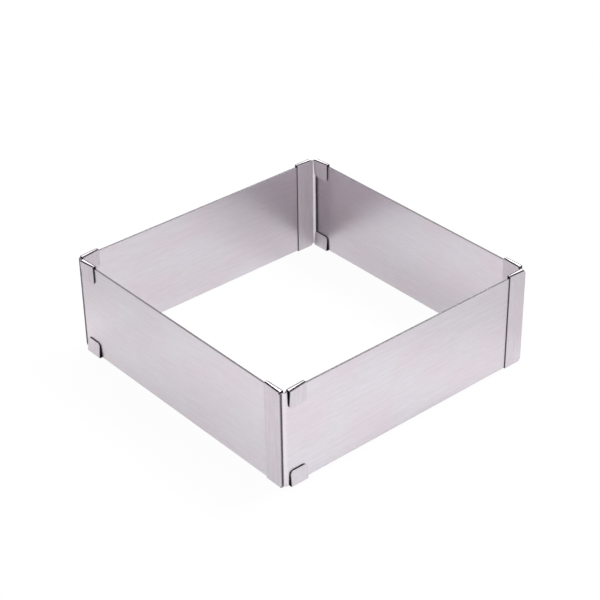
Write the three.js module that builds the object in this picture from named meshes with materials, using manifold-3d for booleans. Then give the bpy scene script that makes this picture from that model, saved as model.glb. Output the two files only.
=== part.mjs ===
// Adjustable cake frame: four corner plates of thin sheet, each bent square, that slide
// along one another in the folded clips on their free ends. Millimetres, +Z up. The origin
// is at the middle of the frame, on the surface that it stands on, and the frame is closed.
import * as THREE from "three";
import { mergeVertices } from "three/addons/utils/BufferGeometryUtils.js";
import Module from "manifold-3d";

// Driving dimensions of the plates
const side = 150; // outer face to outer face when closed
const plateHeight = 50;
const plateSheet = 0.4; // thickness
const plateBendRadius = 2; // on the inside of the bend
const layerGap = 0.2; // running clearance between the two plates of a wall
const outerLegSetback = 0.8; // from the free end of an outer leg to the next wall's outer face

// Driving dimensions of the clips
const clipSheet = 0.4;
const clipWidth = 10.4;
const foldRadius = 0.3; // on the inside of each bend
const edgeGap = 0.3; // between a plate's edge and the fold around it
const foldRise = 0.5; // the top fold climbs by this much, away from the leg's free end
const bulgeNear = 1; // top fold, from the wall to the tongue, at the leg's free end
const bulgeAway = 0.3; // the same at the clip's other end
const bulgeBelow = 0.9; // bottom fold, all along
const topTongueLength = 8.8; // from the plate's edge to the tongue's tip
const bottomTongueLength = 7.5;
const tongueInset = 0.8; // the folds start this far from the leg's free end
const tongueTipGap = 0.2; // from the wall to the tongue's tip
const tongueTipRadius = 1.8;

// Driving dimensions of the welds and of the room at the corners
const weldSeam = 0.1; // between a clip's strip and its own leg
const weldRadius = 1.5;
const weldSpacing = 24;
const weldTouchGap = 0.02;
const cornerClearance = 0.4; // between the pieces that meet inside a corner

// What follows from them
const halfSide = side / 2;
const wall = 2 * plateSheet + layerGap;
const bendOuterRadius = plateBendRadius + plateSheet;
const plateBottom = edgeGap + clipSheet; // the frame stands on the clips' bottom folds
const plateTop = plateBottom + plateHeight;
const innerLegSetback = wall + bulgeNear + clipSheet + cornerClearance;
const topTip = plateTop - topTongueLength;
const bottomTip = plateBottom + bottomTongueLength;

// Fineness of the round stretches
const bendSteps = 6;
const foldSteps = 4;
const weldSides = 16;
const cutMargin = 2; // how far a cutting solid reaches past what it cuts

const brushedSteel = new THREE.MeshStandardMaterial({
  color: 0xd4ced3,
  metalness: 1,
  roughness: 0.32,
});
const clipSteel = new THREE.MeshStandardMaterial({
  color: 0xcdc6cb,
  metalness: 1,
  roughness: 0.3,
});

const wasm = await Module();
wasm.setup();

// A closed geometry as a solid that can be joined and cut.
function solidOf(geometry) {
  const bare = geometry.clone();
  bare.deleteAttribute("normal");
  bare.deleteAttribute("uv");
  const merged = mergeVertices(bare, 1e-4);
  return new wasm.Manifold(
    new wasm.Mesh({
      numProp: 3,
      vertProperties: new Float32Array(merged.attributes.position.array),
      triVerts: new Uint32Array(merged.index.array),
    }),
  );
}

// A solid as a geometry for a mesh.
function geometryOf(solid) {
  const mesh = solid.getMesh();
  const geometry = new THREE.BufferGeometry();
  geometry.setAttribute("position", new THREE.BufferAttribute(mesh.vertProperties, 3));
  geometry.setIndex(new THREE.BufferAttribute(mesh.triVerts, 1));
  geometry.computeVertexNormals();
  return geometry;
}

// Points on an arc, both ends included.
function arc(center, radius, from, to, steps) {
  return Array.from({ length: steps + 1 }, (_, i) => {
    const angle = from + ((to - from) * i) / steps;
    return new THREE.Vector2(
      center.x + radius * Math.cos(angle),
      center.y + radius * Math.sin(angle),
    );
  });
}

// The strip of a corner plate: an outer leg along +X and an inner leg along +Y, one sheet
// and one running clearance further in, joined by a round bend.
function plateGeometry() {
  const outerFace = -halfSide;
  const innerLegFace = -halfSide + plateSheet + layerGap;
  const bend = new THREE.Vector2(
    innerLegFace + bendOuterRadius,
    outerFace + bendOuterRadius,
  );
  const outerEnd = halfSide - outerLegSetback;
  const innerEnd = halfSide - innerLegSetback;
  const quarter = Math.PI / 2;
  const outline = new THREE.Shape([
    ...arc(bend, bendOuterRadius, 2 * quarter, 3 * quarter, bendSteps),
    new THREE.Vector2(outerEnd, outerFace),
    new THREE.Vector2(outerEnd, outerFace + plateSheet),
    ...arc(bend, plateBendRadius, 3 * quarter, 2 * quarter, bendSteps),
    new THREE.Vector2(innerLegFace + plateSheet, innerEnd),
    new THREE.Vector2(innerLegFace, innerEnd),
  ]);
  return new THREE.ExtrudeGeometry(outline, { depth: plateHeight, bevelEnabled: false });
}

// Where a clip's pieces lie across the wall, from the strip's bare face towards the tongues.
const ownLegFace = clipSheet + weldSeam;
const tongueSideFace = ownLegFace + wall;

// One face of a top fold, from the strip over the crest to the tongue's tip, in a plane
// across the wall. Both faces turn about the same two centres; offset is 0 on the inner
// face of the bent sheet and clipSheet on its outer face.
function foldFace(crest, bulge, tip, offset) {
  const radius = foldRadius + offset;
  const outerRadius = foldRadius + clipSheet;
  const depth = tongueSideFace + bulge + clipSheet;
  const overStrip = new THREE.Vector2(outerRadius, crest - outerRadius);
  const overTongue = new THREE.Vector2(depth - outerRadius, crest - outerRadius);
  const tipInside = new THREE.Vector2(tongueSideFace + tongueTipGap, tip);
  const reach = tipInside.clone().sub(overTongue);
  const lean = reach.angle() - 2 * Math.PI + Math.acos(foldRadius / reach.length());
  const outward = new THREE.Vector2(Math.cos(lean), Math.sin(lean));
  return [
    ...arc(overStrip, radius, Math.PI, Math.PI / 2, foldSteps),
    ...arc(overTongue, radius, Math.PI / 2, lean, foldSteps),
    tipInside.addScaledVector(outward, offset),
  ];
}

// A clip's whole section: a strip with a fold at each end. The bottom fold is a top fold
// turned over.
function clipSection(topCrest, topBulge) {
  const turnedOver = (points) => points.map((p) => new THREE.Vector2(p.x, -p.y));
  return [
    ...foldFace(topCrest, topBulge, topTip, clipSheet),
    ...foldFace(topCrest, topBulge, topTip, 0).reverse(),
    ...turnedOver(foldFace(0, bulgeBelow, -bottomTip, 0)),
    ...turnedOver(foldFace(0, bulgeBelow, -bottomTip, clipSheet)).reverse(),
  ];
}

// A closed geometry between two sections with as many points, set across the Y axis at 0
// and at length. A section's points run clockwise, with X across the wall and Z up.
function loft(first, last, length) {
  const count = first.length;
  const place = (points, y) => points.flatMap((p) => [p.x, y, p.y]);
  const triangles = [];
  for (let i = 0; i < count; i++) {
    const next = (i + 1) % count;
    triangles.push(i, next, count + i, next, count + next, count + i);
  }
  for (const [a, b, c] of THREE.ShapeUtils.triangulateShape(first, []))
    triangles.push(a, b, c);
  for (const [a, b, c] of THREE.ShapeUtils.triangulateShape(last, []))
    triangles.push(count + a, count + c, count + b);
  const geometry = new THREE.BufferGeometry();
  const positions = [...place(first, 0), ...place(last, length)];
  geometry.setAttribute("position", new THREE.Float32BufferAttribute(positions, 3));
  geometry.setIndex(triangles);
  return geometry;
}

// What is cut away to round one corner of a tongue's tip. along is the corner's place on
// the clip's width, inward is +1 or -1 towards the middle of the width, and up is +1 where
// the tongue lies above its tip.
function tipCutter(along, tip, inward, up) {
  const center = new THREE.Vector2(
    along + inward * tongueTipRadius,
    tip + up * tongueTipRadius,
  );
  const start = up > 0 ? -Math.PI / 2 : Math.PI / 2;
  const turn = (inward * up > 0 ? -1 : 1) * (Math.PI / 2);
  const outline = new THREE.Shape([
    ...arc(center, tongueTipRadius, start, start + turn, bendSteps),
    new THREE.Vector2(along - inward * cutMargin, center.y),
    new THREE.Vector2(along - inward * cutMargin, tip - up * cutMargin),
    new THREE.Vector2(center.x, tip - up * cutMargin),
  ]);
  const depth = bulgeNear + clipSheet + cutMargin;
  const geometry = new THREE.ExtrudeGeometry(outline, { depth, bevelEnabled: false });
  geometry.applyMatrix4(
    new THREE.Matrix4().makeBasis(
      new THREE.Vector3(0, 1, 0),
      new THREE.Vector3(0, 0, 1),
      new THREE.Vector3(1, 0, 0),
    ),
  );
  return geometry.translate(tongueSideFace, 0, 0);
}

// What is cut away so that a fold and its tongue start further from the leg's free end than
// the strip does, clear of the bend of the plate that slides in the clip. start is where the
// cut begins across the wall.
function insetCutter(start, from, to) {
  const across = tongueSideFace + bulgeNear + clipSheet + cutMargin - start;
  const along = tongueInset + cutMargin;
  const geometry = new THREE.BoxGeometry(across, along, to - from);
  return geometry.translate(
    start + across / 2,
    tongueInset - along / 2,
    (from + to) / 2,
  );
}

// One spot weld between the strip and its own leg.
function weldGeometry(height) {
  const start = clipSheet / 2;
  const end = ownLegFace - weldTouchGap;
  const geometry = new THREE.CylinderGeometry(weldRadius, weldRadius, end - start, weldSides);
  return geometry
    .rotateZ(-Math.PI / 2)
    .translate((start + end) / 2, clipWidth / 2, height);
}

// A clip, with X from its strip towards its tongues and Y along the wall from the leg's free end.
function clipGeometry() {
  const nearCrest = plateTop + edgeGap + clipSheet;
  const awayCrest = nearCrest + foldRise;
  const middle = (plateTop + plateBottom) / 2;
  const foldStart = foldRadius + clipSheet;
  const cutters = [
    insetCutter(-cutMargin, nearCrest - foldStart, awayCrest + cutMargin),
    insetCutter(tongueSideFace, topTip - cutMargin, nearCrest),
    insetCutter(-cutMargin, -cutMargin, foldStart),
    insetCutter(tongueSideFace, 0, bottomTip + cutMargin),
    tipCutter(tongueInset, topTip, 1, 1),
    tipCutter(clipWidth, topTip, -1, 1),
    tipCutter(tongueInset, bottomTip, 1, -1),
    tipCutter(clipWidth, bottomTip, -1, -1),
  ];
  const bent = solidOf(
    loft(clipSection(nearCrest, bulgeNear), clipSection(awayCrest, bulgeAway), clipWidth),
  );
  const trimmed = cutters.reduce((solid, cutter) => solid.subtract(solidOf(cutter)), bent);
  const welds = [middle - weldSpacing / 2, middle + weldSpacing / 2].map(weldGeometry);
  return geometryOf(welds.reduce((solid, weld) => solid.add(solidOf(weld)), trimmed));
}

const plate = plateGeometry();
const clip = clipGeometry();

// A corner of the frame: a plate with a clip on the free end of each leg.
function corner(name) {
  const group = new THREE.Group();

  const plateMesh = new THREE.Mesh(plate, brushedSteel);
  plateMesh.name = `${name}_plate`;
  plateMesh.position.z = plateBottom;

  const outerClip = new THREE.Mesh(clip, clipSteel);
  outerClip.name = `${name}_outer_clip`;
  outerClip.rotation.z = Math.PI / 2;
  outerClip.position.set(halfSide - outerLegSetback, -halfSide - ownLegFace, 0);

  const innerClip = new THREE.Mesh(clip, clipSteel);
  innerClip.name = `${name}_inner_clip`;
  innerClip.rotation.z = Math.PI;
  innerClip.position.set(-halfSide + wall + ownLegFace, halfSide - innerLegSetback, 0);

  group.add(plateMesh, outerClip, innerClip);
  return group;
}

// The four corners are the same, each a quarter turn on from the last.
const cakeFrame = new THREE.Group();
["near", "right", "back", "left"].forEach((name, quarterTurns) => {
  const group = corner(name);
  group.rotation.z = (quarterTurns * Math.PI) / 2;
  cakeFrame.add(group);
});

export default cakeFrame;
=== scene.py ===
# %% [markdown]
# # An adjustable cake frame in brushed steel
# The frame is four thin plates, each bent square, and eight small clips folded from strip.
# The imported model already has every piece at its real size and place, on the body that it
# moves with. This lesson gives each piece the fine shape of real bent sheet, with rounded
# cut edges and round folds, and then the finish of brushed stainless steel.

import bpy
import numpy as np
from mathutils import Matrix, Vector


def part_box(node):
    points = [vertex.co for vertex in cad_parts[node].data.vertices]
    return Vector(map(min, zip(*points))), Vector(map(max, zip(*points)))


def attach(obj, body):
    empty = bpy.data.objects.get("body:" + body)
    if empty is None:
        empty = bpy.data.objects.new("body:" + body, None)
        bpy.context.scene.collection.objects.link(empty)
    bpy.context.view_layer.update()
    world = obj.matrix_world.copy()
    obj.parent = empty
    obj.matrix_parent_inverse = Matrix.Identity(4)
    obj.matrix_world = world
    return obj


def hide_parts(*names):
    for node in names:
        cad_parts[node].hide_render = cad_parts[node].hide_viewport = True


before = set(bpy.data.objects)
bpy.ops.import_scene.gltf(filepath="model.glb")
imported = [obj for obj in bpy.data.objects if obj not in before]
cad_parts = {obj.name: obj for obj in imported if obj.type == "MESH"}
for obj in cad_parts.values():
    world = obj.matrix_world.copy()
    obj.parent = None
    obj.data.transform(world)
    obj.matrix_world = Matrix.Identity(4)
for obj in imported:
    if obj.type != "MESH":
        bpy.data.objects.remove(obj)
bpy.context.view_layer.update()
MM = 0.001  # one millimetre in Blender's metres

# %% [markdown]
# ## Camera
# The photograph was taken with a fairly long lens, looking down at the near corner. A camera
# could be placed by eye, but straight edges tell more: the place, the angles and the focal
# length below were fitted to the edges of the plates, so the walls fall where the photograph
# has them. Azimuth 0 looks along +Y.

# %% Place the camera
CAMERA_AZIMUTH = np.radians(-40.345)
CAMERA_ELEVATION = np.radians(32.525)
CAMERA_ROLL = np.radians(-0.889)
CAMERA_PLACE = np.array([-457.195, -537.836, 480.805]) * MM
SENSOR_WIDTH = 36.0  # mm
FOCAL_LENGTH = 105.1  # mm


def camera_turn(azimuth, elevation, roll):
    """Columns are the camera's right, up and back. Back points from the object to the lens,
    right is level, and then right and up turn about back by the roll."""
    back = np.array([
        np.sin(azimuth) * np.cos(elevation),
        -np.cos(azimuth) * np.cos(elevation),
        np.sin(elevation),
    ])
    level = np.array([np.cos(azimuth), np.sin(azimuth), 0])
    right = np.cos(roll) * level + np.sin(roll) * np.cross(back, level)
    return np.stack([right, np.cross(back, right), back], axis=1)


turn = camera_turn(CAMERA_AZIMUTH, CAMERA_ELEVATION, CAMERA_ROLL)
lens = bpy.data.cameras.new("photo_camera")
lens.sensor_width = SENSOR_WIDTH
lens.lens = FOCAL_LENGTH
camera = bpy.data.objects.new("photo_camera", lens)
camera.matrix_world = Matrix.Translation(CAMERA_PLACE) @ Matrix(turn.tolist()).to_4x4()
bpy.context.scene.collection.objects.link(camera)
bpy.context.scene.camera = camera
print("camera looks down by", round(np.degrees(CAMERA_ELEVATION), 1), "degrees")

# %% [markdown]
# ## Sheet carried along a path
# Every piece here is thin sheet, bent along one direction. Sheet could be a flat grid with a
# Solidify modifier, but then its cut edges are square and hard to give a finish of their own.
# So the section of the sheet, a long thin rectangle with rounded edges, is carried along the
# bent path as whole arrays. Each face knows whether it lies on the front of the sheet, on its
# back or on the cut edge, and so takes its own finish.

# %% Rounded section of a sheet
EDGE_RADIUS = 0.1  # mm, a deburred cut edge
EDGE_STEPS = 4
EDGE_SUPPORT = 0.01  # share of the width that keeps the flat face's shading flat
FRONT, BACK, CUT, END = 0, 1, 2, 3  # which finish a face takes


def sheet_section(columns):
    """A sheet's closed section as arrays with one entry for each point. across is the place
    over the width, from 0 to 1; side is +1 on the front and -1 on the back; edge is the
    offset (outward, through) from the centre of the corner's rounding, in edge radii: with
    angle a over a quarter circle, (-cos a, sin a), then (sin a, cos a), and the two turned
    over for the back. kinds says which finish the face to the next point takes."""
    a = np.linspace(0, np.pi / 2, EDGE_STEPS + 1)
    inner = np.linspace(0, 1, columns + 2)[1:-1]
    inner = np.concatenate([[EDGE_SUPPORT], inner, [1 - EDGE_SUPPORT]])
    rise = np.stack([-np.cos(a), np.sin(a)], 1)
    fall = np.stack([np.sin(a), np.cos(a)], 1)
    front = np.concatenate([rise, np.tile([0.0, 1.0], (len(inner), 1)), fall])
    over = np.concatenate([0 * a, inner, 0 * a + 1])
    across = np.concatenate([over, over[::-1]])
    side = np.repeat([1, -1], len(over))
    edge = np.concatenate([front, front[::-1] * [1, -1]])
    cut = [CUT] * EDGE_STEPS
    flat = len(inner) + 1
    kinds = cut + [FRONT] * flat + cut + [CUT] + cut + [BACK] * flat + cut + [CUT]
    return across, side, edge, np.array(kinds)


def section_places(section, low, high, thickness):
    """Places over the width and through the thickness for every station and section point.
    low and high hold each station's two edges."""
    across, side, edge, _ = section
    flat = high - low - 2 * EDGE_RADIUS
    over = low[:, None] + EDGE_RADIUS + flat[:, None] * across + EDGE_RADIUS * edge[:, 0]
    through = side * (thickness / 2 - EDGE_RADIUS) + EDGE_RADIUS * edge[:, 1]
    return over, np.broadcast_to(through, over.shape)


print("a sheet section has", len(sheet_section(3)[0]), "points with 3 columns")

# %% [markdown]
# ### Round bends
# Sheet can't turn a sharp corner: the press bends it round a radius. A Bevel modifier could
# round a folded plane, but here the shape of the fold is known, so each corner of the path is
# worked out as a circle arc. The same step gives each point a weight for light painted into
# the colour of the bends: a painted highlight down a plate's bend, and painted shade on the
# shoulders of a clip's folds.

# %% A path with round bends
BEND_SUPPORT = 0.15  # mm, between the points that keep a straight side's shading flat
CREST_LENGTH = 4.0  # mm; a shorter side between two bends is the crest of a fold
# Painted shade on a clip's fold rises over these shares of the turn towards its crest.
CREST_SHADE_FROM, CREST_SHADE_TO = 0.25, 0.5  # shares of the turn towards a crest


def rounded_path(corners, radius, steps):
    """A polyline in a plane with each inner corner replaced by a circle arc that is tangent
    to both of its sides. Returns the points, the left-hand normals, and each point's weight
    for the light or shade painted on the bends, from 0 to 1: with s its share of an arc,
    sin(pi s), and 0 on a straight side. Towards the crest of a fold it rises between two
    shares of the turn instead, and stays 1 to a little beyond the arc."""
    corners = np.asarray(corners, float)
    way = np.diff(corners, axis=0)
    length = np.linalg.norm(way, axis=1, keepdims=True)
    way /= length
    crest = length[:, 0] < CREST_LENGTH
    support = np.array([[2], [1]]) * BEND_SUPPORT
    left = np.stack([-way[:, 1], way[:, 0]], 1)
    points, normals, bend = [corners[:1]], [left[:1]], [[0]]
    for i in range(1, len(corners) - 1):
        sine = way[i - 1, 0] * way[i, 1] - way[i - 1, 1] * way[i, 0]
        angle = np.arctan2(sine, way[i - 1] @ way[i])
        reach = radius * np.tan(abs(angle) / 2)
        start = corners[i] - way[i - 1] * reach
        center = start + left[i - 1] * radius * np.sign(angle)
        turn = np.linspace(0, angle, steps + 1)[:, None]
        normal = left[i - 1] * np.cos(turn) - way[i - 1] * np.sin(turn)
        before = start - way[i - 1] * support
        after = corners[i] + way[i] * (reach + support[::-1])
        points += [before, center - normal * radius * np.sign(angle), after]
        normals += [left[[i - 1, i - 1]], normal, left[[i, i]]]
        # Weight of the light or shade painted on a bend: most at the arc's middle, or rising
        # towards a fold's crest.
        share = np.linspace(0, 1, steps + 1)
        bend_paint = np.sin(np.pi * share)
        if crest[i - 1] or crest[i]:
            to_crest = share if crest[i] else share[::-1]
            bend_paint = np.clip((to_crest - CREST_SHADE_FROM) / (CREST_SHADE_TO - CREST_SHADE_FROM), 0, 1)
        bend += [[0, crest[i - 1]], bend_paint, [crest[i], 0]]
    points.append(corners[-1:])
    normals.append(left[-1:])
    bend.append([0])
    return np.concatenate(points), np.concatenate(normals), np.concatenate(bend)


def path_lengths(points):
    """Distance along a path from its first point."""
    steps = np.linalg.norm(np.diff(points, axis=0), axis=1)
    return np.concatenate([[0], np.cumsum(steps)])


square_bend = rounded_path([(10, 0), (0, 0), (0, 10)], radius=2, steps=14)[0]
print("two sides of 10 mm take", round(path_lengths(square_bend)[-1], 2), "mm of sheet")

# %% [markdown]
# ### From arrays to a mesh
# A mesh could be built one face at a time, but numpy's index arrays name all the faces at
# once. Besides its finish, each piece gets a map of its grain in real lengths, along the path
# and across it, and the weight of the light and shade painted on its bends as an attribute,
# and the materials read both.

# %% Mesh of a carried sheet


def carried_sheet(name, points, uv, bend, kinds, finishes):
    """A closed mesh from points[station, section point, xyz] in mm: quads join neighbouring
    stations and neighbouring section points, and one flat face closes each end. uv[station,
    section point] is in mm along the path and across it; bend[station] is 1 in a bend."""
    stations, ring, _ = points.shape
    index = np.arange(stations * ring).reshape(stations, ring)
    here, along = index[:-1], index[1:]
    quads = np.stack(
        [here, np.roll(here, -1, 1), np.roll(along, -1, 1), along], axis=-1
    ).reshape(-1, 4)
    ends = [index[0, ::-1].tolist(), index[-1].tolist()]
    mesh = bpy.data.meshes.new(name)
    mesh.from_pydata(points.reshape(-1, 3) * MM, [], quads.tolist() + ends)
    for finish in finishes:
        mesh.materials.append(finish)
    material = np.concatenate([np.tile(kinds, stations - 1), [END, END]]).astype(np.int32)
    mesh.polygons.foreach_set("material_index", material)
    smooth = np.ones(len(mesh.polygons), bool)
    smooth[-len(ends):] = False
    mesh.polygons.foreach_set("use_smooth", smooth)
    corner = np.empty(len(mesh.loops), np.int32)
    mesh.loops.foreach_get("vertex_index", corner)
    layer = mesh.uv_layers.new(name="grain")
    layer.uv.foreach_set("vector", (uv.reshape(-1, 2)[corner] * MM).ravel())
    # Weight of the painted highlight or painted shade on the bends, for the materials.
    bend_paint_layer = mesh.attributes.new("bend", "FLOAT", "POINT")
    bend_paint_layer.data.foreach_set("value", np.repeat(bend, ring).astype(np.float32))
    mesh.validate()
    mesh.update()
    piece = bpy.data.objects.new(name, mesh)
    bpy.context.scene.collection.objects.link(piece)
    print(name, "has", len(mesh.polygons), "faces")
    return piece


# %% [markdown]
# ## Finishes
# Brushed stainless steel is a bright, slightly warm grey metal. A belt of grit leaves fine
# parallel scratches, which blur a reflection across the scratches and hardly at all along
# them. A picture of brushed metal could be laid on every piece, but it would be coarse close
# up and end at a seam. Here noise that is drawn out along the sheet's own grain map makes the
# streaks, and the shader's anisotropy follows the same map. The scratches are about 0.05 mm
# apart on the real sheet, too fine to show from here, so the streaks are drawn more than ten
# times as coarse.

# %% Colours and the node helper


def linear(hex_colour):
    """An sRGB hex value as linear RGBA, by the sRGB curve."""
    srgb = np.array([int(hex_colour[i : i + 2], 16) for i in (1, 3, 5)]) / 255
    flat = np.where(srgb <= 0.04045, srgb / 12.92, ((srgb + 0.055) / 1.055) ** 2.4)
    return (*flat.tolist(), 1.0)


def add(tree, kind, inputs=None, **settings):
    """Adds a node. inputs sets or links its sockets by name or number."""
    node = tree.nodes.new(kind)
    for name, value in settings.items():
        setattr(node, name, value)
    for name, value in (inputs or {}).items():
        if isinstance(value, bpy.types.NodeSocket):
            tree.links.new(value, node.inputs[name])
        else:
            node.inputs[name].default_value = value
    return node


def new_material(name):
    """A material with no nodes yet, and its node tree."""
    material = bpy.data.materials.new(name)
    material.use_nodes = True
    material.node_tree.nodes.clear()
    return material, material.node_tree


print("the grey #808080 sends back", round(linear("#808080")[0], 3), "of the light")

# %% Brushed stainless steel
STREAK_LENGTH, STREAK_PITCH = 5.0, 0.7  # mm along the grain and across it
HAIRLINE_LENGTH, HAIRLINE_PITCH = 25.0, 1.6  # mm, longer and broader streaks
BLOTCH_LENGTH, BLOTCH_WIDTH = 38.0, 22.8  # mm, slow changes of tint from rolling and handling
OCTAVE_SHARE = 0.6  # how strong each finer layer of the noise is beside the one before
BLOTCH_LOW, BLOTCH_HIGH = 0.35, 0.65  # noise values from the pale tint to the rosy one
STREAKS_LOW, STREAKS_HIGH = 0.6, 1.4  # nearly all sums of the two streaks lie between these
STREAK_GLOSS = 0.02  # how far the streaks' roughness differs from the sheet's
SCRATCH_DEPTH = 0.004  # mm
SCRATCH_STRENGTH = 0.08
ANISOTROPY = 0.6
ACROSS_GRAIN = 0.25  # of a full turn, so that highlights spread across the scratches


def brushed_steel(name, pale, rosy, roughness, contrast, bend_paint_level):
    """A brushed belt finish. The grain map is in metres, with the scratches along U. contrast
    is how far the streaks differ from the sheet's shade. The last argument scales the colour
    of a bend beside that of the flat sheet, as painted light: above 1 a painted highlight,
    below 1 painted shade."""
    material, tree = new_material(name)
    grain = add(tree, "ShaderNodeUVMap", uv_map="grain").outputs[0]

    def streaks(length, pitch, detail):
        """Noise drawn out along the grain, to real lengths in mm."""
        scaled = add(tree, "ShaderNodeMapping", {
            "Vector": grain,
            "Scale": (1 / (length * MM), 1 / (pitch * MM), 1),
        })
        return add(tree, "ShaderNodeTexNoise", {
            "Vector": scaled.outputs[0],
            "Scale": 1.0,
            "Detail": detail,
            "Roughness": OCTAVE_SHARE,
        }, noise_dimensions="2D").outputs[0]

    fine = streaks(STREAK_LENGTH, STREAK_PITCH, detail=3.0)
    broad = streaks(HAIRLINE_LENGTH, HAIRLINE_PITCH, detail=2.0)
    blotch = streaks(BLOTCH_LENGTH, BLOTCH_WIDTH, detail=1.0)
    tint = add(tree, "ShaderNodeMix", {
        "Factor": add(tree, "ShaderNodeMapRange", {
            "Value": blotch, "From Min": BLOTCH_LOW, "From Max": BLOTCH_HIGH,
        }).outputs[0],
        "A": linear(pale),
        "B": linear(rosy),
    }, data_type="RGBA")
    both = add(tree, "ShaderNodeMath", {0: fine, 1: broad}, operation="ADD")
    shade = add(tree, "ShaderNodeMapRange", {
        "Value": both.outputs[0],
        "From Min": STREAKS_LOW, "From Max": STREAKS_HIGH,
        "To Min": 1 - contrast, "To Max": 1 + contrast,
    })
    # Painted light on the bends: the colour there is scaled up for a painted highlight, or down
    # for painted shade.
    bend = add(tree, "ShaderNodeAttribute", attribute_name="bend").outputs["Fac"]
    bend_paint_factor = add(tree, "ShaderNodeMapRange", {"Value": bend, "To Min": 1.0, "To Max": bend_paint_level})
    streaks_and_bend_paint = add(tree, "ShaderNodeMath", {
        0: shade.outputs[0], 1: bend_paint_factor.outputs[0],
    }, operation="MULTIPLY")
    colour = add(tree, "ShaderNodeVectorMath", {
        0: tint.outputs["Result"], "Scale": streaks_and_bend_paint.outputs[0],
    }, operation="SCALE")
    rough = add(tree, "ShaderNodeMapRange", {
        "Value": both.outputs[0],
        "From Min": STREAKS_LOW, "From Max": STREAKS_HIGH,
        "To Min": roughness - STREAK_GLOSS, "To Max": roughness + STREAK_GLOSS,
    })
    bump = add(tree, "ShaderNodeBump", {
        "Strength": SCRATCH_STRENGTH, "Distance": SCRATCH_DEPTH * MM, "Height": fine,
    })
    tangent = add(tree, "ShaderNodeTangent", direction_type="UV_MAP", uv_map="grain")
    shader = add(tree, "ShaderNodeBsdfPrincipled", {
        "Base Color": colour.outputs[0],
        "Metallic": 1.0,
        "Roughness": rough.outputs[0],
        "Anisotropic": ANISOTROPY,
        "Anisotropic Rotation": ACROSS_GRAIN,
        "Tangent": tangent.outputs[0],
        "Normal": bump.outputs[0],
    })
    add(tree, "ShaderNodeOutputMaterial", {"Surface": shader.outputs[0]})
    return material


# Bright sheet that mirrors the paper softly, with streaks along the wall and a painted
# highlight down its bend.
plate_steel = brushed_steel(
    "stainless_steel_brushed_along",
    pale="#E1DCE3", rosy="#E1D9DF", roughness=0.3, contrast=0.05, bend_paint_level=1.1,
)
# Strip with a coarser brush: a flat, even grey with upright streaks, and painted shade, nearly
# black, on the shoulders of its folds.
clip_steel = brushed_steel(
    "stainless_steel_brushed_upright",
    pale="#E3DDE4", rosy="#E3DBE1", roughness=0.55, contrast=0.07, bend_paint_level=0.05,
)
print("brushed steel:", plate_steel.name, "and", clip_steel.name)

# %% [markdown]
# ### Cut edges and the inside of the folds
# Shears tear the steel, so the end of a piece is rough, and its colour is darkened further
# with painted shade of its seam into a thin dark line. A long edge that was slit on rollers is
# cleaner and paler. The inside of a fold, where no belt reaches, is dull steel given painted
# shade, nearly black, for the shade in the open loop. One dark colour for all of them would
# look drawn with a pen, so each wanders between two greys, in patches about as large as the
# tears.

# %% Steel with no polish
TEAR_SIZE = 0.6  # mm
TEAR_DETAIL = 2.0
TEAR_GLOSS = 0.08  # how far the roughness wanders


def unpolished_steel_and_shade(name, dark, light, roughness):
    """Steel with no polish, also used as painted shade: a tone that wanders between two greys,
    and a dull gloss.
    """
    material, tree = new_material(name)
    place = add(tree, "ShaderNodeTexCoord").outputs["Object"]
    tears = add(tree, "ShaderNodeTexNoise", {
        "Vector": place, "Scale": 1 / (TEAR_SIZE * MM), "Detail": TEAR_DETAIL,
    })
    colour = add(tree, "ShaderNodeMix", {
        "Factor": tears.outputs[0], "A": linear(dark), "B": linear(light),
    }, data_type="RGBA")
    rough = add(tree, "ShaderNodeMapRange", {
        "Value": tears.outputs[0],
        "To Min": roughness - TEAR_GLOSS, "To Max": roughness + TEAR_GLOSS,
    })
    shader = add(tree, "ShaderNodeBsdfPrincipled", {
        "Base Color": colour.outputs["Result"],
        "Metallic": 1.0,
        "Roughness": rough.outputs[0],
    })
    add(tree, "ShaderNodeOutputMaterial", {"Surface": shader.outputs[0]})
    return material


# Long edges of the plates: a thin mid grey line along the top of each wall.
slit_steel = unpolished_steel_and_shade(
    "stainless_steel_slit_edge", dark="#6A666A", light="#807B80", roughness=0.4
)
# Long edges of the clips' strip: paler still, so that a clip hardly shows an outline there.
strip_steel = unpolished_steel_and_shade(
    "stainless_steel_strip_edge", dark="#7A767A", light="#A09CA0", roughness=0.45
)
# Ends that the shears cut: rough, and darkened further with painted shade of their seams, so
# they are dull lines that are nearly black.
cut_steel = unpolished_steel_and_shade(
    "stainless_steel_sheared_edge", dark="#1A191A", light="#424042", roughness=0.5
)
# Inside of the clips: painted shade, dark and dull, so that an open fold looks like a dark
# slot.
fold_shade_steel = unpolished_steel_and_shade(
    "stainless_steel_painted_fold_shade", dark="#1C1B1C", light="#3A383A", roughness=0.6
)
PLATE_FINISHES = [plate_steel, plate_steel, slit_steel, cut_steel]
CLIP_FINISHES = [clip_steel, fold_shade_steel, strip_steel, cut_steel]
print("finishes of a plate:", [finish.name for finish in PLATE_FINISHES])
print("finishes of a clip:", [finish.name for finish in CLIP_FINISHES])

# %% [markdown]
# ## Corner plates
# A corner plate is one strip, bent square. Its outer leg lies against the outside of a wall,
# and its inner leg one sheet and one running clearance further in, so that each wall is two
# plates deep and they slide along one another. Each plate could be modelled by itself, but
# all four are the same, a quarter turn apart, so one is worked out from the near plate's box
# and then turned.

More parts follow.
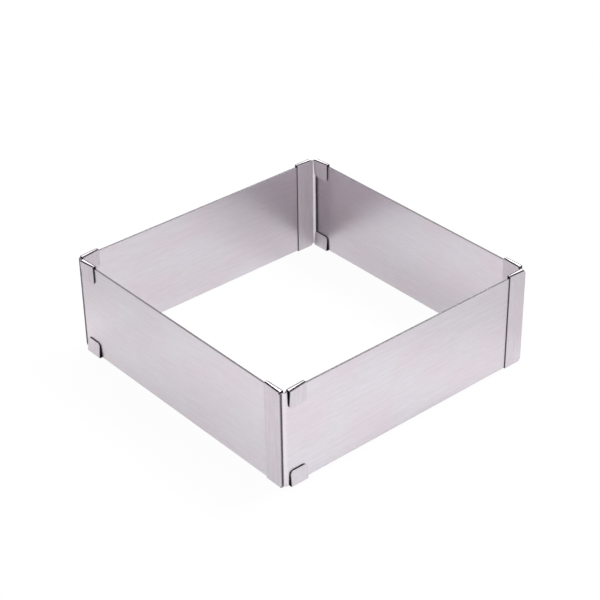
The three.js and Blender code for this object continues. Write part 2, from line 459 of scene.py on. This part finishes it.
# %% Measure the near corner, in millimetres
plate_low, plate_high = (np.array(corner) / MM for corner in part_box("near_plate"))
clip_low, clip_high = (np.array(corner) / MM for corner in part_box("near_outer_clip"))
SHEET = 0.4  # thickness of the plates and of the clips
PLATE_BEND = 2.2  # radius at the middle of the sheet
OUTER_FACE = -plate_low[1]  # from the frame's middle
OUTER_END, INNER_END = plate_high[0], plate_high[1]
INNER_LEG_FACE = plate_low[0]
PLATE_BOTTOM, PLATE_TOP = plate_low[2], plate_high[2]
WALL = INNER_LEG_FACE + OUTER_FACE + SHEET
print("wall", round(WALL, 2), "mm, plate", round(PLATE_TOP - PLATE_BOTTOM, 2), "mm high")

# %% Shape of a plate
BEND_STEPS = 14
PLATE_COLUMNS = 6


def with_end_supports(path, normals, bend):
    """Adds a point close to each end of a path, so that an end face leaves the long straight
    side beside it shaded flat."""
    inward = path[[1, -2]] - path[[0, -1]]
    inward /= np.linalg.norm(inward, axis=1, keepdims=True)
    close = path[[0, -1]] + inward * BEND_SUPPORT
    like = np.concatenate([[0], np.arange(len(path)), [-1]])
    doubled = path[like]
    doubled[[1, -2]] = close
    return doubled, normals[like], bend[like]


def plate_surface():
    """Points and grain map of the near plate. The path runs in plan along the inner leg,
    round the bend and along the outer leg, at the middle of the sheet; the section stands
    upright on it, from the bottom edge to the top edge."""
    leg_x = INNER_LEG_FACE + SHEET / 2
    leg_y = -OUTER_FACE + SHEET / 2
    corners = [(leg_x, INNER_END), (leg_x, leg_y), (OUTER_END, leg_y)]
    path, left, bend = with_end_supports(*rounded_path(corners, PLATE_BEND, BEND_STEPS))
    section = sheet_section(PLATE_COLUMNS)
    edges = np.ones(len(path))
    z, through = section_places(section, PLATE_BOTTOM * edges, PLATE_TOP * edges, SHEET)
    plan = path[:, None, :] + left[:, None, :] * through[..., None]
    points = np.concatenate([plan, z[..., None]], axis=-1)
    along = np.broadcast_to(path_lengths(path)[:, None], z.shape)
    return points, np.stack([along, z], axis=-1), bend, section[3]


points, grain_map, bend, kinds = plate_surface()
print("a plate is cut from", round(grain_map[-1, 0, 0], 1), "mm of strip")

# %% Build the four plates
CORNERS = ["near", "right", "back", "left"]
GRAIN_SHIFT = 310.0  # mm, so that no two pieces are cut from the same stretch of strip


def quarter_turned(points, quarters):
    """Turns points about the Z axis by whole quarter turns: (x, y) becomes (-y, x)."""
    x, y, z = np.moveaxis(points, -1, 0)
    for _ in range(quarters % 4):
        x, y = -y, x
    return np.stack([x, y, z], axis=-1)


for quarters, corner in enumerate(CORNERS):
    plate = carried_sheet(
        f"{corner}_plate_sheet",
        quarter_turned(points, quarters),
        grain_map + [quarters * GRAIN_SHIFT, 0],
        bend,
        kinds,
        PLATE_FINISHES,
    )
    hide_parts(f"{corner}_plate")
    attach(plate, f"{corner}_corner")
print("plates made:", len(CORNERS), "with", len(points) * len(kinds), "points each")

# %% [markdown]
# ## Clips
# A clip is a short strip whose ends are folded round the edges of both plates of a wall. The
# folds are open loops: wide at the crest, where the sheet turns, and closing on the wall at
# the tongue's rounded tip. The top fold was bent a little out of square and climbs away from
# the leg's free end. A Simple Deform modifier could bend a flat blank, but not to folds that
# fit the plates. So a clip is the same sheet section carried along its bent path. The two
# ends of the clip have slightly different paths, and every point lies on a straight line
# between them.

# %% Sizes of a clip, in millimetres
CLIP_WIDTH = clip_high[0] - clip_low[0]
SEAM = 0.1  # between the strip and its own leg
FOLD_RADIUS = 0.3  # on the inside of a bend
EDGE_GAP = 0.3  # between a plate's edge and the fold around it
CREST_AWAY = clip_high[2]
CREST_NEAR = PLATE_TOP + EDGE_GAP + SHEET
BULGE_NEAR, BULGE_AWAY, BULGE_BELOW = 1.0, 0.3, 0.9  # from the wall to the tongue
TOP_TONGUE, BOTTOM_TONGUE = 8.8, 7.5  # from the plate's edge to the tip
TIP_GAP = 0.2  # between the wall and the tongue's tip
TIP_RADIUS = 1.8
TONGUE_INSET = 0.8  # how far the folds start from the strip's end
TONGUE_SIDE = SHEET + SEAM + WALL  # where the wall ends, from the strip's bare face
print("clip", round(CLIP_WIDTH, 2), "mm wide, climbs", round(CREST_AWAY - CREST_NEAR, 2), "mm")

# %% Bent path of a clip
FOLD_STEPS = 10
FOLD_POINTS = 2 * (FOLD_STEPS + 5)  # on the two bends of a fold, with their supports
TIP_STEPS = 8
INSET_STEPS = np.array([0.1, 0.2, 0.3, 0.4])  # mm, where the strip widens below a fold


def tongue_line(crest, bulge, tip):
    """The middle line of a tongue over a crest: it leaves the bend's circle at a tangent and
    ends SHEET / 2 outside the tip's inner corner. With D the distance from the circle's
    centre to that corner, the tangent's normal leans by acos(radius / D) from their line.
    Returns where it crosses the crest's middle line, and its end."""
    outer = FOLD_RADIUS + SHEET
    center = np.array([TONGUE_SIDE + bulge + SHEET - outer, crest - outer])
    corner = np.array([TONGUE_SIDE + TIP_GAP, tip])
    reach = corner - center
    distance = np.hypot(*reach)
    lean = np.arctan2(reach[1], reach[0]) + np.arccos(FOLD_RADIUS / distance)
    normal = np.array([np.cos(lean), np.sin(lean)])
    end = corner + normal * SHEET / 2
    down = np.array([normal[1], -normal[0]])
    start = end - down * (end[1] - (crest - SHEET / 2)) / down[1]
    return start, end


def clip_path(crest, bulge):
    """A clip's middle path in the plane across the wall, from the top tongue's tip over the
    top crest, down the strip, round the bottom fold and up to the other tip. The bottom fold
    is a top fold turned over."""
    top, top_tip = tongue_line(crest, bulge, PLATE_TOP - TOP_TONGUE)
    low, low_tip = tongue_line(0.0, BULGE_BELOW, -(PLATE_BOTTOM + BOTTOM_TONGUE))
    over = np.array([1, -1])
    half = SHEET / 2
    corners = [top_tip, top, (half, crest - half), (half, half), low * over, low_tip * over]
    path, left, bend = rounded_path(corners, FOLD_RADIUS + half, FOLD_STEPS)
    tip = TIP_RADIUS * (1 - np.sin(np.linspace(np.pi / 2, 0, TIP_STEPS)))
    first = np.linalg.norm(path[1] - path[0])
    last = np.linalg.norm(path[-1] - path[-2])
    start = path[0] + (path[1] - path[0]) * (tip / first)[:, None]
    finish = path[-1] + (path[-2] - path[-1]) * (tip[::-1] / last)[:, None]
    strip = 1 + FOLD_POINTS
    drop = np.stack([0 * INSET_STEPS, -INSET_STEPS], axis=1)
    below = path[strip - 1] + drop
    above = path[strip] - drop[::-1]
    points = np.concatenate([start, path[1:strip], below, above, path[strip:-1], finish])
    like = np.concatenate([
        np.zeros(TIP_STEPS, int), np.arange(1, strip),
        np.full(len(below), strip - 1), np.full(len(above), strip),
        np.arange(strip, len(path) - 1), np.full(TIP_STEPS, len(path) - 1),
    ])
    return points, -left[like], bend[like]


near_length, away_length = (
    path_lengths(clip_path(crest, bulge)[0])[-1]
    for crest, bulge in ((CREST_NEAR, BULGE_NEAR), (CREST_AWAY, BULGE_AWAY))
)
print("a clip's strip is", round(near_length, 1), "to", round(away_length, 1), "mm long")

# %% Outline of the flat blank
CLIP_COLUMNS = 4


def clip_edges(stations):
    """Each station's two edges over the width. The strip starts at 0, and the folds and
    tongues at the inset, which a quarter sine eases; the tips' corners are quarter circles:
    at distance d from the tip, an edge is drawn in by r - sqrt(r^2 - (r - d)^2)."""
    low = np.full(stations, TONGUE_INSET)
    high = np.full(stations, CLIP_WIDTH)
    angle = np.linspace(np.pi / 2, 0, TIP_STEPS)
    drawn = TIP_RADIUS * (1 - np.cos(angle))
    for part, inward in ((slice(0, TIP_STEPS), drawn), (slice(-TIP_STEPS, None), drawn[::-1])):
        low[part] += inward
        high[part] -= inward
    ease = TONGUE_INSET * (1 - np.sin(np.pi / 2 * INSET_STEPS / INSET_STEPS[-1]))
    first = TIP_STEPS + FOLD_POINTS
    count = len(INSET_STEPS)
    low[first : first + count] = ease
    low[first + count : first + 2 * count] = ease[::-1]
    return low, high


def clip_surface():
    """Points and grain map of a clip in its own frame: X across the wall from the strip's
    bare face, Y along the wall from the leg's free end, Z up."""
    near, near_out, bend = clip_path(CREST_NEAR, BULGE_NEAR)
    away, away_out, _ = clip_path(CREST_AWAY, BULGE_AWAY)
    section = sheet_section(CLIP_COLUMNS)
    low, high = clip_edges(len(near))
    over, through = section_places(section, low, high, SHEET)
    share = (over / CLIP_WIDTH)[..., None]
    middle = near[:, None] * (1 - share) + away[:, None] * share
    out = near_out[:, None] * (1 - share) + away_out[:, None] * share
    plane = middle + out * through[..., None]
    points = np.stack([plane[..., 0], over, plane[..., 1]], axis=-1)
    along = np.broadcast_to(path_lengths(near)[:, None], over.shape)
    return points, np.stack([along, over], axis=-1), bend, section[3]


points, grain_map, bend, kinds = clip_surface()
print("a clip measures", np.ptp(points, axis=(0, 1)).round(2), "mm")

# %% Build the eight clips
strip_face = SHEET + SEAM
outer_place = np.array([OUTER_END, -OUTER_FACE - strip_face, 0])
inner_place = np.array([-OUTER_FACE + WALL + strip_face, INNER_END, 0])
for quarters, corner in enumerate(CORNERS):
    for kind, turns, place in (("outer", 1, outer_place), ("inner", 2, inner_place)):
        on_leg = quarter_turned(points, turns) + place
        clip = carried_sheet(
            f"{corner}_{kind}_clip_strip",
            quarter_turned(on_leg, quarters),
            grain_map + [(quarters + turns * len(CORNERS)) * GRAIN_SHIFT, 0],
            bend,
            kinds,
            CLIP_FINISHES,
        )
        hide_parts(f"{corner}_{kind}_clip")
        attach(clip, f"{corner}_corner")
print("clips made:", 2 * len(CORNERS), "with", len(points) * len(kinds), "points each")

# %% [markdown]
# ## Studio
# The photograph has a white ground and soft light all round. Polished metal shows whatever it
# faces, so the studio matters as much as the finish. Upright walls mirror the paper in front
# of them, crests mirror the bright panel behind, and in the far corner each wall mirrors the
# other one, which is why it looks darkest there, and the paper in that image of an image is
# given painted shade besides. More light would burn out the metal before the paper turned
# white, so the paper is made white for the rays that come straight from the camera, and
# nearly so for those that come by way of the metal. For those its sides are painted dimmer,
# a painted pool of light as lamps over the middle would leave, and so is the paper inside
# the frame, as painted shade of the walls.

# %% A sheet of white paper on the floor
FLOOR_HALF = 6.0  # metres
corners = np.array([(-1, -1, 0), (1, -1, 0), (1, 1, 0), (-1, 1, 0)]) * FLOOR_HALF
floor_mesh = bpy.data.meshes.new("floor")
floor_mesh.from_pydata(corners.tolist(), [], [(0, 1, 2, 3)])
floor = bpy.data.objects.new("floor", floor_mesh)
bpy.context.scene.collection.objects.link(floor)
paper, tree = new_material("white_paper")
floor_mesh.materials.append(paper)
print("the paper is", 2 * FLOOR_HALF, "m square")

# %% Where the paper is bright, as the metal sees it
# Painted light on the paper, seen only in the metal: a painted pool of light along a band, and
# painted shade of the walls inside the frame.
BAND_ACROSS = np.array([np.cos(CAMERA_AZIMUTH), np.sin(CAMERA_AZIMUTH), 0])
BAND_LEFT = 0.008  # metres, how far the bright band lies to the left of the frame's middle
BAND_BRIGHT_TO, BAND_DIM_FROM = 0.09, 0.17  # metres to either side of the band's middle
BAND_DIM = 0.5  # how bright the paper is beyond the band
INSIDE_TO, OUTSIDE_FROM = 0.06, 0.1  # metres from the frame's middle
INSIDE_LEVEL = 0.82  # how bright the paper is inside the frame, beside that outside
on_floor = add(tree, "ShaderNodeTexCoord").outputs["Object"]
across = add(tree, "ShaderNodeVectorMath", {
    0: on_floor, 1: BAND_ACROSS,
}, operation="DOT_PRODUCT")
from_band = add(tree, "ShaderNodeMath", {
    0: across.outputs["Value"], 1: BAND_LEFT,
}, operation="ADD")
aside = add(tree, "ShaderNodeMath", {0: from_band.outputs[0]}, operation="ABSOLUTE")
band = add(tree, "ShaderNodeMapRange", {
    "Value": aside.outputs[0],
    "From Min": BAND_BRIGHT_TO, "From Max": BAND_DIM_FROM,
    "To Min": 1.0, "To Max": BAND_DIM,
}, interpolation_type="SMOOTHSTEP")
radius = add(tree, "ShaderNodeVectorMath", {0: on_floor}, operation="LENGTH")
painted_wall_shade = add(tree, "ShaderNodeMapRange", {
    "Value": radius.outputs["Value"],
    "From Min": INSIDE_TO, "From Max": OUTSIDE_FROM,
    "To Min": INSIDE_LEVEL, "To Max": 1.0,
}, interpolation_type="SMOOTHSTEP")
painted_light_and_shade = add(tree, "ShaderNodeMath", {
    0: band.outputs[0], 1: painted_wall_shade.outputs[0],
}, operation="MULTIPLY")
print("the metal sees a white band of paper", 2 * BAND_BRIGHT_TO, "m wide")

# %% White for the camera, and nearly so in the metal
LIFT_SEEN = 0.95  # share of plain white in the floor that the camera sees, also through glass
LIFT_MIRRORED = 0.62  # the same in a mirror image
# Painted shade: the paper is drawn darker in each further mirror image, which deepens the far
# corner.
IMAGE_OF_IMAGE = 0.45  # how bright that white is in an image of an image, in the far corner
ray = add(tree, "ShaderNodeLightPath").outputs
direct = add(tree, "ShaderNodeMath", {
    0: ray["Is Camera Ray"], 1: ray["Is Transmission Ray"],
}, operation="MAXIMUM")
seen = add(tree, "ShaderNodeMath", {
    0: direct.outputs[0], 1: LIFT_SEEN,
}, operation="MULTIPLY")
lift = add(tree, "ShaderNodeMath", {
    0: ray["Is Glossy Ray"], 1: LIFT_MIRRORED, 2: seen.outputs[0],
}, operation="MULTIPLY_ADD")
further = add(tree, "ShaderNodeMath", {0: ray["Glossy Depth"], 1: 1.0}, operation="SUBTRACT")
image = add(tree, "ShaderNodeMath", {
    0: IMAGE_OF_IMAGE, 1: further.outputs[0],
}, operation="POWER")
mirrored = add(tree, "ShaderNodeMath", {
    0: painted_light_and_shade.outputs[0], 1: image.outputs[0],
}, operation="MULTIPLY")
level = add(tree, "ShaderNodeMix", {
    "Factor": direct.outputs[0], "A": mirrored.outputs[0], "B": 1.0,
}, data_type="FLOAT")
matte = add(tree, "ShaderNodeBsdfDiffuse", {"Color": linear("#F0F0F0")})
white = add(tree, "ShaderNodeEmission", {
    "Color": linear("#FFFFFF"), "Strength": level.outputs["Result"],
})
blend = add(tree, "ShaderNodeMixShader", {
    0: lift.outputs[0], 1: matte.outputs[0], 2: white.outputs[0],
})
add(tree, "ShaderNodeOutputMaterial", {"Surface": blend.outputs[0]})
print("white paper has", len(tree.nodes), "nodes")

# %% [markdown]
# ### Room and lamps
# A room gives soft light from above and little from its sides, so the paper is darker close
# to the frame's feet, as under a ceiling of cloth. The camera and the metal see plain white
# instead. A wide panel behind brightens the crests, and a lamp high on the right shades the
# left wall's foot. A picture of a real studio could light the frame as well, but each part of
# this one can be changed by itself.

# %% A soft room
ROOM_DARK_TO, ROOM_BRIGHT_FROM = 0.12, 0.42  # heights above the horizon, as sines
ROOM_DARK, ROOM_BRIGHT = 0.12, 0.8  # strengths, where 1 is white
world = bpy.data.worlds.new("soft_room")
bpy.context.scene.world = world
world.use_nodes = True
tree = world.node_tree
tree.nodes.clear()
direction = add(tree, "ShaderNodeTexCoord").outputs["Generated"]
height = add(tree, "ShaderNodeSeparateXYZ", {0: direction}).outputs["Z"]
shade = add(tree, "ShaderNodeMapRange", {
    "Value": height,
    "From Min": ROOM_DARK_TO, "From Max": ROOM_BRIGHT_FROM,
    "To Min": ROOM_DARK, "To Max": ROOM_BRIGHT,
}, interpolation_type="SMOOTHSTEP")
room = add(tree, "ShaderNodeBackground", {
    "Color": linear("#FFFFFF"), "Strength": shade.outputs[0],
})
ground = add(tree, "ShaderNodeBackground", {"Color": linear("#FFFFFF"), "Strength": 1.0})
ray = add(tree, "ShaderNodeLightPath").outputs
direct = add(tree, "ShaderNodeMath", {
    0: ray["Is Camera Ray"], 1: ray["Is Transmission Ray"],
}, operation="MAXIMUM")
seen = add(tree, "ShaderNodeMath", {
    0: direct.outputs[0], 1: ray["Is Glossy Ray"],
}, operation="MAXIMUM")
blend = add(tree, "ShaderNodeMixShader", {
    0: seen.outputs[0], 1: room.outputs[0], 2: ground.outputs[0],
})
add(tree, "ShaderNodeOutputWorld", {"Surface": blend.outputs[0]})
print("the room's light rises from", ROOM_DARK, "at its sides to", ROOM_BRIGHT, "overhead")

# %% The panel and the lamp


def softbox(name, place, size, radiance):
    """A square lamp that faces the object, with its place and size in metres. A flat lamp of
    power P and area A has a radiance of P / (pi A), so the power follows from the brightness
    that the metal is to mirror. Returns that power."""
    light = bpy.data.lights.new(name, "AREA")
    light.shape = "SQUARE"
    light.size = size
    light.energy = radiance * np.pi * size**2
    lamp = bpy.data.objects.new(name, light)
    lamp.location = place
    lamp.rotation_euler = (-Vector(place)).to_track_quat("-Z", "Y").to_euler()
    bpy.context.scene.collection.objects.link(lamp)
    return light.energy


panel_power = softbox("back_panel", place=(0.75, 0.88, 0.75), size=1.3, radiance=1.6)
lamp_power = softbox("right_lamp", place=(0.95, -0.15, 1.6), size=0.5, radiance=24.0)
bpy.context.scene.view_settings.view_transform = "Standard"
print("a panel of", round(panel_power, 1), "W behind, and a lamp of", round(lamp_power, 1), "W")
